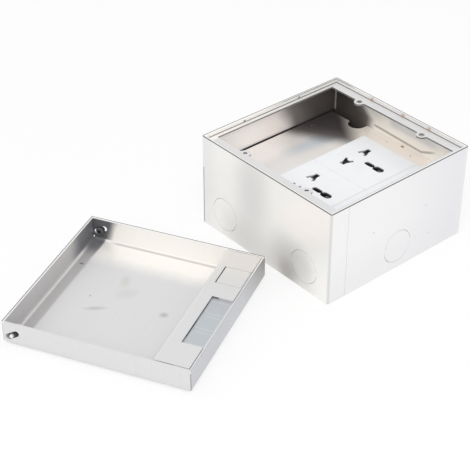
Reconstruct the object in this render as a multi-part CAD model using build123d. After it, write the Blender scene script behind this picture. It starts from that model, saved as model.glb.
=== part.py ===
"""Floor socket box: a sheet steel box with two universal socket outlets on a deck, and its recessed tray lid.

Millimetres. The origin is the centre of the box's base, on the surface that the box stands on. +Z is up,
+X and +Y run along the box's sides. The lid is off, lying tray side up beside the box.
"""
import math
import os

from build123d import *

# Box body: a folded wall strip, a base sheet and a ledge frame
box_length = 150.0
box_width = 150.0
box_height = 83.0
body_sheet = 1.5
body_corner_radius = 1.2
body_fold_radius = 0.4
seam_from_corner = 18.0
seam_gap = 0.25
base_sheet = 1.5
base_hole_spacing_x = 112.0
base_hole_spacing_y = 96.0
base_hole_diameter = 5.5

# Knockouts: discs sheared round in the wall and held by two bridges
knockout_diameter = 29.0
knockout_height = 20.5
knockout_from_corner = 28.0
knockout_slit = 0.3
knockout_bridge = 2.5

# Ledge frame inside the rim, with an upturned lip against the wall and four ears with threaded holes
ledge_drop = 2.9
ledge_sheet = 1.5
ledge_lip_sheet = 1.0
ledge_lip_drop = 0.5
ledge_width_x = 6.0
ledge_width_y = 11.0
ear_radius = 4.5
ear_spacing = 71.0
ear_overhang = 0.6
ear_hole_diameter = 3.4
ear_root_radius = 1.6

# Deck plate that carries the sockets, on four brackets
deck_height = 53.6
deck_sheet = 1.5
deck_gap = 1.8
deck_side_gap = 0.3
deck_corner_radius = 1.0
deck_screw_from_wall = 9.5
deck_screw_spacing_y = 77.0
cable_notch_radius = 8.0
cable_notch_from_wall = 31.5
cable_notch_depth = 12.0
deck_corner_step = 5.5
bracket_sheet = 1.5
bracket_width = 14.0
bracket_reach = 16.0
bracket_leg = 13.0

# Small machine screws and nuts
screw_diameter = 3.0
screw_hole_clearance = 0.15
thread_clearance = 0.03
flat_head_diameter = 5.2
flat_head_height = 1.5
recess_width = 0.7
recess_depth = 0.9
recess_span = 3.0
nut_across_flats = 5.5
nut_thickness = 2.4
screw_spare = 1.5

# Earth stud on the base
stud_diameter = 5.0
stud_height = 16.0
stud_foot_diameter = 10.0
stud_foot_height = 1.5
stud_from_wall_x = 21.5
stud_from_wall_y = 43.5
stud_nut_across_flats = 8.0
stud_nut_thickness = 4.0
stud_washer_diameter = 10.0
stud_washer_thickness = 1.0

# Socket unit: a frame with two module faces, each with its rear housing
frame_length = 118.0
frame_width = 68.0
frame_rise = 4.5
frame_centre_x = 13.8
frame_shift_share = 0.145
frame_floor = 1.8
frame_edge_chamfer = 1.0
frame_corner_radius = 1.5
frame_border_inner = 1.2
frame_border_outer = 7.0
frame_border_end = 0.8
module_gap = 0.2
module_proud = 0.4
module_chamfer = 0.3
module_clearance = 0.15
frame_screw_from_end = 3.2

# Rear housings of the outlets
housing_width = 45.0
housing_length = 52.0
housing_depth = 25.0
housing_wall = 2.0
housing_floor = 2.0
housing_ledge = 2.0
housing_clearance = 0.4
wire_port_diameter = 6.0

# Pin apertures of a universal outlet, from its centre line
pin_pitch = 22.2
earth_pitch = 20.6
line_row_offset = -10.1
flat_pin_width = 4.6
flat_pin_inner = 8.2
flat_pin_outer = 16.4
blade_slot_width = 2.4
blade_slot_length = 7.6
blade_slot_tilt = 22.0
blade_slot_x = 2.2
blade_slot_y = 9.9
earth_small_width = 4.8
earth_small_length = 9.8
earth_large_width = 6.8
earth_large_length = 10.4
earth_lobe_step = 9.8

# Safety shutter below each face
shutter_thickness = 1.4
shutter_travel = 4.0
shutter_clearance = 0.15
shutter_end_play = 0.4
shutter_lug_depth = 5.0
shutter_lug_thickness = 1.6
shutter_lug_width = 6.0
shutter_spring_diameter = 4.0
shutter_spring_wire = 0.5
shutter_spring_turns = 7
earth_shelf_length = 4.4
earth_shelf_drop = 0.2

# Contacts and terminals in each housing
contact_sheet = 0.6
contact_width = 6.0
contact_gap = 3.8
contact_height = 12.0
terminal_height = 6.0
terminal_width = 7.0
terminal_length = 7.0

# Lid: a tray folded from sheet, with bends at the foot of its walls
lid_length = 150.8
lid_width = 146.6
lid_height = 21.4
lid_sheet = 1.5
lid_bend_radius = 4.5
lid_corner_radius = 0.4
lid_seam_width = 0.45
lid_seam_depth = 0.9
lid_seam_foot = 4.0
lid_seam_top = 4.5
relief_hole_diameter = 2.4
lid_centre_x = -14.1
lid_centre_y = -189.2
lid_yaw = 27.7

# Cable deck at the free end of the lid: a riser and a top, with a notch for the tab and a cable slot
cable_deck_width = 31.0
cable_deck_sheet = 1.5
cable_deck_bend_radius = 2.2
cable_deck_gap = 0.7
cable_deck_foot = 6.0
window_margin = 7.0
slot_left_margin = 19.1
slot_front_margin = 27.1
slot_length = 58.0

# Lift tab in the cable deck
tab_left_margin = 24.0
tab_width = 21.6
tab_back_margin = 23.5
tab_finger_gap = 1.0
tab_side_gap = 0.3
tab_pin_diameter = 1.6
tab_pin_overhang = 2.4
tab_axis_inset = 3.2
tab_bracket_sheet = 1.2
tab_bracket_drop = 4.6
tab_rest_width = 2.0
tab_rest_gap = 0.1
tab_rest_margin = 4.0
running_clearance = 0.05

# Cable flap under the slot, on a sprung pin
flap_sheet = 1.2
flap_drop = 0.2
flap_lap = 1.8
flap_end_gap = 0.6
flap_axis_inset = 1.5
flap_knuckle_radius = 1.5
flap_knuckle_length = 9.0
flap_pin_diameter = 1.6
flap_bracket_sheet = 1.2
flap_bracket_gap = 0.3
flap_spring_wire = 0.45
flap_spring_turns = 10
flap_spring_diameter = 3.4

# Hinge pins in slanted slots at the hinge end of the lid
hinge_pin_diameter = 3.0
hinge_pin_from_end = 8.0
hinge_pin_height = 10.4
hinge_slot_width = 5.0
hinge_slot_length = 13.0
hinge_slot_angle = 32.0
hinge_head_diameter = 6.6
hinge_head_thickness = 1.5
hinge_head_hole = 2.4
hinge_pin_free_length = 2.0
slider_length = 7.0
slider_clearance = 0.1
slider_flange_margin = 0.6
slider_flange_thickness = 0.8

# Places worked out from the sizes above
inner_half_x = box_length / 2 - body_sheet
inner_half_y = box_width / 2 - body_sheet
ledge_top = box_height - ledge_drop
opening_half_x = box_length / 2 - ledge_width_x
opening_half_y = box_width / 2 - ledge_width_y
ear_y = opening_half_y - ear_overhang
deck_bottom = deck_height - deck_sheet
deck_screw_x = inner_half_x - deck_screw_from_wall
cable_notch_x = -inner_half_x + cable_notch_from_wall
stud_x = -inner_half_x + stud_from_wall_x
stud_y = -inner_half_y + stud_from_wall_y
screw_radius = screw_diameter / 2
screw_hole_radius = screw_radius + screw_hole_clearance

frame_room_y = 2 * inner_half_y - frame_length
frame_centre_y = -frame_shift_share * frame_room_y
frame_top = deck_height + frame_rise
module_floor = deck_height + frame_floor
module_top = frame_top + module_proud
pocket_low_x = frame_centre_x - frame_width / 2 + frame_border_inner
pocket_high_x = frame_centre_x + frame_width / 2 - frame_border_outer
module_centre_x = (pocket_low_x + pocket_high_x) / 2
module_size_x = pocket_high_x - pocket_low_x - 2 * module_clearance
module_size_y = frame_length / 2 - frame_border_end - module_clearance - module_gap / 2
module_offset_y = module_gap / 2 + module_size_y / 2
module_places = {
    "far": frame_centre_y + module_offset_y,
    "near": frame_centre_y - module_offset_y,
}
line_row_x = module_centre_x + line_row_offset
earth_place = line_row_offset + earth_pitch
earth_x = module_centre_x + earth_place
housing_bottom = module_floor - housing_depth
shutter_floor = module_floor - shutter_thickness - 2 * shutter_clearance
shutter_bottom = shutter_floor + shutter_clearance

lid_half_x = lid_length / 2
lid_half_y = lid_width / 2
lid_inner_x = lid_half_x - lid_sheet
lid_inner_y = lid_half_y - lid_sheet
cable_deck_left = lid_half_x - cable_deck_width
cable_deck_right = lid_inner_x - cable_deck_gap
cable_deck_bottom = lid_height - cable_deck_sheet
slot_left = lid_half_x - slot_left_margin
slot_front = -lid_half_y + slot_front_margin
slot_back = slot_front + slot_length
tab_left = lid_half_x - tab_left_margin
tab_back = lid_half_y - tab_back_margin
tab_front = tab_back - tab_width
tab_knuckle_radius = tab_pin_diameter / 2 + running_clearance + cable_deck_sheet
tab_axis_x = lid_inner_x - tab_axis_inset
tab_axis_z = lid_height - tab_knuckle_radius
flap_axis_x = slot_left - flap_axis_inset
flap_top = cable_deck_bottom - flap_drop
flap_axis_z = flap_top - flap_knuckle_radius
hinge_pin_x = -lid_half_x + hinge_pin_from_end
lid_place = Pos(lid_centre_x, lid_centre_y, 0) * Rot(0, 0, lid_yaw)


def block(low, high):
    """A box between two corners."""
    size = [b - a for a, b in zip(low, high)]
    return Pos(*low) * Box(*size, align=(Align.MIN, Align.MIN, Align.MIN))


def rod(radius, low, high, axis="Z"):
    """A round bar from one end point to the other, which differ only along its axis."""
    turn = {"X": Rot(0, 90, 0), "Y": Rot(-90, 0, 0), "Z": Rot(0, 0, 0)}[axis]
    length = math.dist(low, high)
    return Pos(*low) * turn * Cylinder(radius, length, align=(Align.CENTER, Align.CENTER, Align.MIN))


def rounded_slab(size_x, size_y, radius, low_z, high_z):
    """A flat plate with rounded corners, centred on the Z axis."""
    return Pos(0, 0, low_z) * extrude(RectangleRounded(size_x, size_y, radius), high_z - low_z)


def cross_recess(top):
    """The tool that cuts a cross recess down from a screw head's top."""
    half = recess_span / 2
    wide = recess_width / 2
    first = block((-half, -wide, top - recess_depth), (half, wide, top + recess_depth))
    return first + Rot(0, 0, 90) * first


def countersink():
    """The tool that makes room for a flat screw's head below Z = 0."""
    return Cone(screw_hole_radius, flat_head_diameter / 2 + screw_hole_clearance, flat_head_height,
                align=(Align.CENTER, Align.CENTER, Align.MAX))


def flat_screw(length):
    """A countersunk screw whose head is flush at Z = 0."""
    head_bottom = -flat_head_height
    cone = Cone(screw_radius, flat_head_diameter / 2, flat_head_height,
                align=(Align.CENTER, Align.CENTER, Align.MIN))
    shank = rod(screw_radius, (0, 0, -length), (0, 0, head_bottom))
    return Pos(0, 0, head_bottom) * cone + shank - cross_recess(0)


def hex_nut(across_flats, thickness, bore_radius):
    """A hexagon nut that hangs below Z = 0."""
    outline = RegularPolygon(across_flats / 2, 6, major_radius=False) - Circle(bore_radius)
    return Pos(0, 0, -thickness) * extrude(outline, thickness)


def wound_spring(outer_diameter, wire, length, turns):
    """A spring wound along +Z from Z = 0, drawn as a tube with one rounded rib for each turn."""
    rib = length / turns
    core = outer_diameter / 2 - wire / 2
    inner = outer_diameter / 2 - wire
    edges = [Line((inner, 0), (inner, length)), Line((inner, length), (core, length))]
    for turn in reversed(range(turns)):
        top = (turn + 1) * rib
        bottom = turn * rib
        edges.append(ThreePointArc((core, top), (outer_diameter / 2, top - rib / 2), (core, bottom)))
    edges.append(Line((core, 0), (inner, 0)))
    profile = make_face(Wire(edges))
    return revolve(Plane.XZ * profile, Axis.Z)


def group(solids):
    """Several separate solids kept as one node."""
    return Compound(children=list(solids))


def knockout_cut(angle, along):
    """The slit of one knockout in the wall that faces the given angle, at a distance along that wall."""
    half_depth = box_length / 2 if angle in (0, 180) else box_width / 2
    outer = knockout_diameter / 2
    reach = body_sheet * 2
    ring = Cylinder(outer, reach) - Cylinder(outer - knockout_slit, reach)
    ring -= Box(knockout_bridge, knockout_diameter * 2, reach)
    return Rot(0, 0, angle) * Pos(half_depth, along, knockout_height) * Rot(0, 90, 0) * ring


def wall_band():
    """The wall strip, folded at four corners, with an open seam near one of them."""
    outer = RectangleRounded(box_length, box_width, body_corner_radius)
    inner = RectangleRounded(2 * inner_half_x, 2 * inner_half_y, body_fold_radius)
    band = extrude(outer - inner, box_height)
    seam_y = -box_width / 2 + seam_from_corner
    band -= Pos(inner_half_x, seam_y, box_height / 2) * Box(4 * body_sheet, seam_gap, 2 * box_height)
    half = box_length / 2 - knockout_from_corner
    for angle, along in ((270, -half), (270, half), (0, 0), (90, -half), (90, half), (180, 0)):
        band -= knockout_cut(angle, along)
    return band


def base_plate():
    """The base sheet inside the wall strip, with holes for floor anchors."""
    plate = rounded_slab(2 * inner_half_x, 2 * inner_half_y, body_fold_radius, 0, base_sheet)
    for x in (-base_hole_spacing_x / 2, base_hole_spacing_x / 2):
        for y in (-base_hole_spacing_y / 2, base_hole_spacing_y / 2):
            plate -= Pos(x, y, base_sheet / 2) * Cylinder(base_hole_diameter / 2, 2 * base_sheet)
    return plate


def ear_places():
    """The centres of the four ears."""
    return [(x, y) for x in (-ear_spacing / 2, ear_spacing / 2) for y in (-ear_y, ear_y)]


def ledge_frame():
    """The ledge ring with its lip and its four ears, in which the lid's screws would turn."""
    lip_top = box_height - ledge_lip_drop
    ring = rounded_slab(2 * inner_half_x, 2 * inner_half_y, body_fold_radius,
                        ledge_top - ledge_sheet, lip_top)
    lip_inner_x = inner_half_x - ledge_lip_sheet
    lip_inner_y = inner_half_y - ledge_lip_sheet
    ring -= block((-lip_inner_x, -lip_inner_y, ledge_top), (lip_inner_x, lip_inner_y, lip_top + 1))
    outline = Rectangle(2 * opening_half_x, 2 * opening_half_y)
    for x, y in ear_places():
        outline -= Pos(x, y) * Circle(ear_radius)
    roots = [v for v in outline.vertices() if abs(v.X) < opening_half_x - 1]
    outline = fillet(roots, ear_root_radius)
    ring -= Pos(0, 0, ledge_top - 2 * ledge_sheet) * extrude(outline, 3 * ledge_sheet)
    for x, y in ear_places():
        ring -= Pos(x, y, ledge_top) * Cylinder(ear_hole_diameter / 2, 4 * ledge_sheet)
    return ring


def deck_screw_places():
    """The centres of the four deck screws."""
    xs = (-deck_screw_x, deck_screw_x)
    ys = (-deck_screw_spacing_y / 2, deck_screw_spacing_y / 2)
    return [(x, y) for x in xs for y in ys]


def frame_screw_places():
    """The centres of the two screws that hold the socket frame."""
    reach = frame_length / 2 - frame_screw_from_end
    return [(module_centre_x, frame_centre_y - reach), (module_centre_x, frame_centre_y + reach)]


def deck_plate():
    """The deck, with a gap on one side, two cable notches and the cut-out for the outlets."""
    low_x = -inner_half_x + deck_gap
    high_x = inner_half_x - deck_side_gap
    half_y = inner_half_y - deck_side_gap
    plate = block((low_x, -half_y, deck_bottom), (high_x, half_y, deck_height))
    plate = fillet(plate.edges().filter_by(Axis.Z), deck_corner_radius)
    for side in (-1, 1):
        centre_y = half_y - cable_notch_depth + cable_notch_radius
        notch = Pos(cable_notch_x, side * centre_y, deck_height) * Cylinder(cable_notch_radius, 4 * deck_sheet)
        low_y, high_y = sorted((side * centre_y, side * box_width))
        notch += block((cable_notch_x - cable_notch_radius, low_y, deck_bottom - 1),
                       (cable_notch_x + cable_notch_radius, high_y, deck_height + 1))
        low_y, high_y = sorted((side * (half_y - deck_corner_step), side * box_width))
        notch += block((-box_length, low_y, deck_bottom - 1), (cable_notch_x, high_y, deck_height + 1))
        plate -= notch
    for y in module_places.values():
        half_cut_x = housing_length / 2 + housing_clearance
        half_cut_y = housing_width / 2 + housing_clearance
        plate -= block((module_centre_x - half_cut_x, y - half_cut_y, deck_bottom - 1),
                       (module_centre_x + half_cut_x, y + half_cut_y, deck_height + 1))
    for x, y in deck_screw_places() + frame_screw_places():
        plate -= Pos(x, y, deck_height) * Cylinder(screw_hole_radius, 4 * deck_sheet)
    for x, y in deck_screw_places():
        plate -= Pos(x, y, deck_height) * countersink()
    return plate


def deck_brackets():
    """Four angle brackets welded to the walls under the deck's corners."""
    solids = []
    for x, y in deck_screw_places():
        side = math.copysign(1, x)
        wall_x = side * inner_half_x
        low_y = y - bracket_width / 2
        high_y = y + bracket_width / 2
        arm_x = sorted((wall_x, wall_x - side * bracket_reach))
        leg_x = sorted((wall_x, wall_x - side * bracket_sheet))
        arm = block((arm_x[0], low_y, deck_bottom - bracket_sheet), (arm_x[1], high_y, deck_bottom))
        leg = block((leg_x[0], low_y, deck_bottom - bracket_leg), (leg_x[1], high_y, deck_bottom))
        hole = Pos(x, y, deck_bottom) * Cylinder(screw_hole_radius, 4 * bracket_sheet)
        solids.append(arm + leg - hole)
    return group(solids)


def deck_screws():
    """The four screws through the deck into its brackets."""
    length = deck_sheet + bracket_sheet + nut_thickness + screw_spare
    return group(Pos(x, y, deck_height) * flat_screw(length) for x, y in deck_screw_places())


def deck_nuts():
    """The nuts under the deck brackets."""
    nut = hex_nut(nut_across_flats, nut_thickness, screw_radius + thread_clearance)
    return group(Pos(x, y, deck_bottom - bracket_sheet) * nut for x, y in deck_screw_places())


def earth_stud():
    """The earth stud welded to the base."""
    foot = Cylinder(stud_foot_diameter / 2, stud_foot_height, align=(Align.CENTER, Align.CENTER, Align.MIN))
    stem = Cylinder(stud_diameter / 2, stud_height, align=(Align.CENTER, Align.CENTER, Align.MIN))
    stem = chamfer(stem.edges().group_by(Axis.Z)[-1], stud_diameter / 10)
    return Pos(stud_x, stud_y, base_sheet) * (foot + stem)


def earth_washer():
    """The washer that presses an earth lead's eye on the stud's foot."""
    ring = Circle(stud_washer_diameter / 2) - Circle(stud_diameter / 2 + screw_hole_clearance)
    return Pos(stud_x, stud_y, base_sheet + stud_foot_height) * extrude(ring, stud_washer_thickness)


def earth_nut():
    """The nut on the earth stud."""
    top = base_sheet + stud_foot_height + stud_washer_thickness + stud_nut_thickness
    nut = hex_nut(stud_nut_across_flats, stud_nut_thickness, stud_diameter / 2 + thread_clearance)
    return Pos(stud_x, stud_y, top) * nut


def socket_frame():
    """The moulded frame on the deck, with a pocket for the two faces."""
    frame = Pos(frame_centre_x, frame_centre_y) * rounded_slab(
        frame_width, frame_length, frame_corner_radius, deck_height, frame_top)
    frame = chamfer(frame.faces().sort_by(Axis.Z)[-1].edges(), frame_edge_chamfer)
    half_y = frame_length / 2 - frame_border_end
    frame -= block((pocket_low_x, frame_centre_y - half_y, module_floor),
                   (pocket_high_x, frame_centre_y + half_y, frame_top + 1))
    for y in module_places.values():
        half_cut_x = housing_length / 2 + housing_clearance
        half_cut_y = housing_width / 2 + housing_clearance
        frame -= block((module_centre_x - half_cut_x, y - half_cut_y, deck_height - 1),
                       (module_centre_x + half_cut_x, y + half_cut_y, module_floor + 1))
    for x, y in frame_screw_places():
        frame -= Pos(x, y, module_floor) * countersink()
        frame -= Pos(x, y, deck_height) * Cylinder(screw_hole_radius, 4 * frame_floor)
    return frame


def frame_screws():
    """The two countersunk screws under the faces."""
    length = frame_floor + deck_sheet + nut_thickness + screw_spare
    return group(Pos(x, y, module_floor) * flat_screw(length) for x, y in frame_screw_places())


def frame_nuts():
    """The nuts of the frame screws, under the deck."""
    nut = hex_nut(nut_across_flats, nut_thickness, screw_radius + thread_clearance)
    return group(Pos(x, y, deck_bottom) * nut for x, y in frame_screw_places())


def obround(length, width):
    """A slot outline along X with round ends."""
    return SlotOverall(length, width)


def live_outline(side, margin=0.0):
    """A line or neutral aperture: a flat pin's hole whose inner end splits into two slanted blade slots."""
    length = flat_pin_outer - flat_pin_inner
    middle = (flat_pin_outer + flat_pin_inner) / 2
    outline = Pos(0, side * middle) * Rectangle(flat_pin_width + margin, length + margin)
    blade = Rectangle(blade_slot_width + margin, blade_slot_length + margin)
    for lean in (-1, 1):
        turn = Rot(0, 0, side * lean * blade_slot_tilt)
        outline += Pos(lean * blade_slot_x, side * blade_slot_y) * turn * blade
    return outline


def earth_outline():
    """The earth aperture: a small lobe and a large one in line."""
    small = obround(earth_small_length, earth_small_width)
    large = obround(earth_large_length, earth_large_width)
    return Pos(-earth_lobe_step / 2, 0) * small + Pos(earth_lobe_step / 2, 0) * large


def socket_face(name):
    """One module face with its three apertures."""
    y = module_places[name]
    face = Pos(module_centre_x, y) * rounded_slab(
        module_size_x, module_size_y, frame_border_end, module_floor, module_top)
    face = chamfer(face.faces().sort_by(Axis.Z)[-1].edges(), module_chamfer)
    cut_height = 2 * (module_top - module_floor)
    holes = Pos(line_row_x, y) * (live_outline(1) + live_outline(-1)) + Pos(earth_x, y) * earth_outline()
    return face - Pos(0, 0, module_floor - 1) * extrude(holes, cut_height)


def socket_housing(name):
    """The rear housing of one outlet, open at the top, with a ledge that guides the shutter."""
    y = module_places[name]
    half_x = housing_length / 2
    half_y = housing_width / 2
    body = block((-half_x, -half_y, housing_bottom), (half_x, half_y, module_floor))
    upper_x = half_x - housing_wall
    upper_y = half_y - housing_wall
    body -= block((-upper_x, -upper_y, shutter_floor), (upper_x, upper_y, module_floor + 1))
    lower_y = upper_y - housing_ledge
    floor_z = housing_bottom + housing_floor
    body -= block((-upper_x, -lower_y, floor_z), (upper_x, lower_y, shutter_floor + 1))
    for x, port_y in wire_port_places():
        body -= Pos(x, port_y, housing_bottom) * Cylinder(wire_port_diameter / 2, 4 * housing_floor)
    shelf_high = upper_x - housing_wall - shutter_end_play - shutter_travel - shutter_clearance
    shelf_y = earth_large_width / 2
    shelf = block((shelf_high - earth_shelf_length, -shelf_y, shutter_floor - housing_ledge),
                  (shelf_high, shelf_y, module_floor - earth_shelf_drop))
    foot = block((shelf_high - earth_shelf_length, -shelf_y, shutter_floor - housing_ledge),
                 (upper_x, shelf_y, shutter_floor))
    return Pos(module_centre_x, y, 0) * (body + shelf + foot)


def wire_port_places():
    """The wire ports in the housing's floor, beside the terminals, from the housing's centre."""
    port_x = line_row_offset - contact_width - wire_port_diameter / 2
    return [(port_x, -pin_pitch / 2), (port_x, pin_pitch / 2),
            (port_x, 0)]


def shutter(name):
    """The sliding shutter: it opens towards -X when the earth pin pushes its ramp."""
    y = module_places[name]
    low_x = -housing_length / 2 + housing_wall + shutter_travel + shutter_end_play
    high_x = housing_length / 2 - housing_wall - shutter_end_play
    half_y = housing_width / 2 - housing_wall - shutter_clearance
    top = shutter_bottom + shutter_thickness
    plate = block((low_x, -half_y, shutter_bottom), (high_x, half_y, top))
    margin = 2 * shutter_clearance
    window = extrude(live_outline(1, margin) + live_outline(-1, margin), 4 * shutter_thickness)
    plate -= Pos(line_row_offset + shutter_travel, 0, shutter_bottom - shutter_thickness) * window
    earth_low = earth_place - earth_lobe_step / 2 - earth_small_length / 2
    earth_side = earth_large_width / 2 + margin
    plate -= block((earth_low, -earth_side, shutter_bottom - 1),
                   (high_x - housing_wall, earth_side, top + 1))
    lug_x = low_x + shutter_lug_thickness
    lug = block((low_x, -shutter_lug_width / 2, shutter_bottom - shutter_lug_depth),
                (lug_x, shutter_lug_width / 2, shutter_bottom + shutter_thickness / 2))
    return Pos(module_centre_x, y, 0) * (plate + lug)


def shutter_spring(name):
    """The spring between the housing's wall and the shutter's lug."""
    y = module_places[name]
    length = shutter_travel + shutter_end_play
    low_x = module_centre_x - housing_length / 2 + housing_wall
    centre_z = shutter_bottom - shutter_lug_depth + shutter_spring_diameter / 2
    spring = wound_spring(shutter_spring_diameter, shutter_spring_wire, length, shutter_spring_turns)
    return Pos(low_x, y, centre_z) * Rot(0, 90, 0) * spring


def contact(x, y):
    """A brass fork above its terminal block, seen from a pin that comes down along Z."""
    floor_z = housing_bottom + housing_floor
    half_x = contact_width / 2
    base_z = floor_z + terminal_height
    outer = contact_gap / 2 + contact_sheet
    fork = block((-half_x, -outer, base_z), (half_x, outer, base_z + contact_height))
    fork -= block((-half_x - 1, -contact_gap / 2, base_z + contact_sheet),
                  (half_x + 1, contact_gap / 2, base_z + contact_height + 1))
    terminal = block((-terminal_length / 2, -terminal_width / 2, floor_z),
                     (terminal_length / 2, terminal_width / 2, base_z))
    bore = rod(screw_radius + thread_clearance, (0, 0, floor_z - 1), (0, 0, floor_z + terminal_height / 2))
    return Pos(x, y, 0) * (fork + terminal - bore)


def contact_places(name):
    """The places of the line, neutral and earth contacts of one outlet."""
    y = module_places[name]
    return {
        "line": (line_row_x, y + pin_pitch / 2),
        "neutral": (line_row_x, y - pin_pitch / 2),
        "earth": (earth_x, y),
    }


def terminal_screws(name):
    """The three set screws that clamp the wires from below in one outlet."""
    floor_z = housing_bottom + housing_floor
    solids = []
    for x, y in contact_places(name).values():
        screw = rod(screw_radius, (0, 0, floor_z), (0, 0, floor_z + terminal_height / 2))
        slit = Box(2 * screw_diameter, recess_width, 2 * recess_depth)
        solids.append(Pos(x, y, 0) * (screw - Pos(0, 0, floor_z) * slit))
    return group(solids)


def hinge_slot_outline(length, width):
    """The slanted slot outline in the plane of the lid's front wall, with X along the lid and Y up."""
    return Pos(hinge_pin_x, hinge_pin_height) * Rot(0, 0, hinge_slot_angle) * obround(length, width)


def across_lid(outline, low_y, high_y):
    """An outline of the lid's X and Z, drawn out along the lid's width."""
    solid = extrude(Plane.XZ * outline, -(high_y - low_y))
    return Pos(0, low_y, 0) * solid


def tray_form(inset, top):
    """The tray's outer or inner form: its walls and floor moved in by an inset, rounded at their feet."""
    half_x = lid_half_x - inset
    half_y = lid_half_y - inset
    middle = (inset + top) / 2
    height = top - inset
    long_face = Pos(0, middle) * Rectangle(2 * half_x, height)
    long_face = fillet(long_face.vertices().group_by(Axis.Y)[0], lid_bend_radius - inset)
    end_face = Pos(0, middle) * Rectangle(2 * half_y, height)
    end_face = fillet(end_face.vertices().group_by(Axis.Y)[0], lid_bend_radius - inset)
    along = Pos(-half_x, 0, 0) * extrude(Plane.YZ * end_face, 2 * half_x)
    return across_lid(long_face, -half_y, half_y) & along


def lid_tray():
    """The folded tray: floor, four walls, hinge slots, corner reliefs, open seams and the cable window."""
    tray = tray_form(0, lid_height) - tray_form(lid_sheet, lid_height + lid_sheet)
    uprights = tray.edges().filter_by(Axis.Z).filter_by(lambda e: abs(e.center().X) > lid_half_x - 0.01)
    tray = fillet(uprights, lid_corner_radius)
    tray -= across_lid(hinge_slot_outline(hinge_slot_length, hinge_slot_width), -lid_width, lid_width)
    tray -= cable_window()
    for sx in (-1, 1):
        for sy in (-1, 1):
            tray -= seam_cut(sx, sy)
    return tray


def seam_cut(sx, sy):
    """The open seam at one corner of the tray: a thin groove above a round relief hole at the foot."""
    length = lid_height - lid_seam_foot - lid_seam_top
    groove = Box(lid_seam_width, 2 * lid_seam_depth, length)
    turn = 45 if sx == sy else -45
    middle = lid_seam_foot + length / 2
    seam = Pos(sx * lid_half_x, sy * lid_half_y, middle) * Rot(0, 0, turn + 90) * groove
    radius = relief_hole_diameter / 2
    relief = Pos(sx * (lid_half_x - radius), sy * (lid_half_y - radius), 0) * Cylinder(
        radius, 2 * lid_seam_foot)
    return seam + relief


def cable_window():
    """The window in the tray's floor below the cable deck, where the cables come up."""
    low_x = cable_deck_left + cable_deck_sheet + cable_deck_foot
    high_x = lid_inner_x - window_margin / 2
    half_y = lid_inner_y - window_margin
    window = block((low_x, -half_y, -1), (high_x, half_y, lid_sheet + 1))
    return fillet(window.edges().filter_by(Axis.Z), window_margin / 4)


def cable_deck():
    """The cable deck: a foot and a riser welded on the tray's floor, and a top at the height of the walls."""
    half_y = lid_inner_y - cable_deck_gap
    t = cable_deck_sheet
    top = block((cable_deck_left, -half_y, lid_sheet), (cable_deck_right, half_y, lid_height))
    edge = top.edges().filter_by(Axis.Y).group_by(Axis.Z)[-1].sort_by(Axis.X)[0]
    top = fillet(edge, cable_deck_bend_radius)
    hollow = block((cable_deck_left + t, -half_y - 1, lid_sheet - 1),
                   (cable_deck_right + 1, half_y + 1, cable_deck_bottom))
    edge = hollow.edges().filter_by(Axis.Y).group_by(Axis.Z)[-1].sort_by(Axis.X)[0]
    hollow = fillet(edge, cable_deck_bend_radius - t)
    deck = top - hollow
    deck += block((cable_deck_left, -half_y, lid_sheet),
                  (cable_deck_left + t + cable_deck_foot, half_y, lid_sheet + t))
    for side in (-1, 1):
        ys = sorted((side * (lid_half_y - lid_bend_radius), side * lid_half_y))
        deck -= block((cable_deck_left - 1, ys[0], 0), (lid_half_x, ys[1], lid_bend_radius))
    above = lid_height + 1
    deck -= block((slot_left, slot_front, cable_deck_bottom - 1), (lid_half_x, slot_back, above))
    deck -= block((tab_left, tab_front, cable_deck_bottom - 1), (lid_half_x, tab_back, above))
    return deck


def lift_tab():
    """The lift tab, flush in the cable deck, with its end curled round the pin."""
    low_y = tab_front + tab_side_gap
    high_y = tab_back - tab_side_gap
    plate = block((tab_left + tab_finger_gap, low_y, lid_height - cable_deck_sheet),
                  (tab_axis_x, high_y, lid_height))
    corners = plate.edges().filter_by(Axis.Z).group_by(Axis.X)[0]
    plate = fillet(corners, tab_finger_gap / 2)
    curl = rod(tab_knuckle_radius, (tab_axis_x, low_y, tab_axis_z), (tab_axis_x, high_y, tab_axis_z), "Y")
    bore = rod(tab_pin_diameter / 2 + running_clearance,
               (tab_axis_x, low_y - 1, tab_axis_z), (tab_axis_x, high_y + 1, tab_axis_z), "Y")
    return plate + curl - bore


def tab_pin():
    """The pin that the lift tab turns on."""
    low_y = tab_front - tab_pin_overhang
    high_y = tab_back + tab_pin_overhang
    return rod(tab_pin_diameter / 2, (tab_axis_x, low_y, tab_axis_z), (tab_axis_x, high_y, tab_axis_z), "Y")


def tab_brackets():
    """Two ears under the cable deck that hold the tab's pin, each with a ledge on which the tab rests."""
    solids = []
    rest_top = cable_deck_bottom - tab_rest_gap
    rest_end = tab_axis_x - tab_knuckle_radius - tab_rest_margin
    for y, side in ((tab_front, -1), (tab_back, 1)):
        ys = sorted((y, y + side * tab_bracket_sheet))
        ear = block((tab_left + tab_rest_margin, ys[0], lid_height - tab_bracket_drop),
                    (cable_deck_right, ys[1], cable_deck_bottom))
        rest_y = sorted((y, y - side * tab_rest_width))
        ear += block((tab_left + tab_rest_margin, rest_y[0], rest_top - tab_bracket_sheet),
                     (rest_end, rest_y[1], rest_top))
        hole = rod(tab_pin_diameter / 2 + thread_clearance,
                   (tab_axis_x, ys[0] - 1, tab_axis_z), (tab_axis_x, ys[1] + 1, tab_axis_z), "Y")
        solids.append(ear - hole)
    return group(solids)


def knuckle_spans():
    """The two stretches of the flap's pin that the flap's curled knuckles take."""
    low = slot_front - flap_lap
    high = slot_back + flap_lap
    return [(low, low + flap_knuckle_length), (high - flap_knuckle_length, high)]


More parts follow.
